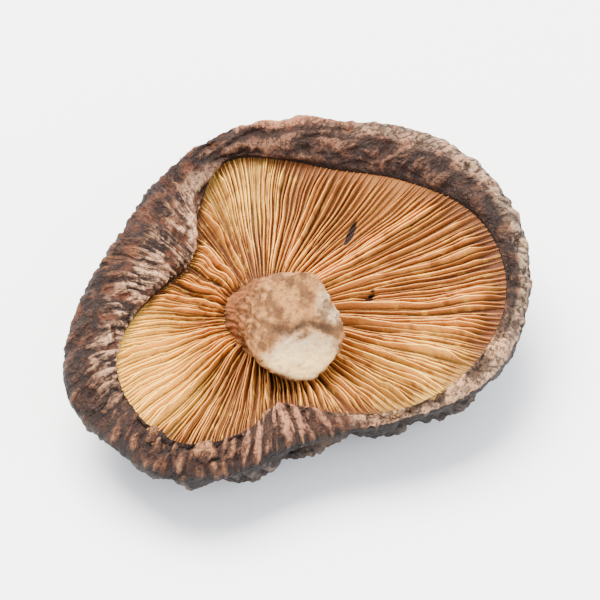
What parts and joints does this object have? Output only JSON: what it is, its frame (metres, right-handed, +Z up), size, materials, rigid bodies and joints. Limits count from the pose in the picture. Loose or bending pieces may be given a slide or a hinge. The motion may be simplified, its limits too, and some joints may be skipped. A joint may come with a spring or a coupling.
{
  "type": "dried shiitake mushroom",
  "caption": "Whole dried shiitake mushroom lying on its furrowed cap, with radial gills, a turned-in margin and a short bent stem upwards.",
  "frame": {"origin": "middle of the bottom of the bounding box, on the surface that the mushroom lies on", "axes": "+Z up, out of the gill side; +X along the cap's longest width; -Y is the side that the gills and the stem lean towards"},
  "size_m": [0.0474, 0.043, 0.0191],
  "materials": {
    "cap_skin": "dry furrowed mushroom skin, dark grey-brown, matt",
    "gill_flesh": "thin dry gills, orange tan, matt",
    "stem_flesh": "dry fibrous stem, beige with brown flecks and a pale end, matt"
  },
  "bodies": {
    "root": {"cap": "cap_skin", "gills": "gill_flesh", "stem": "stem_flesh"}
  },
  "joints": []
}
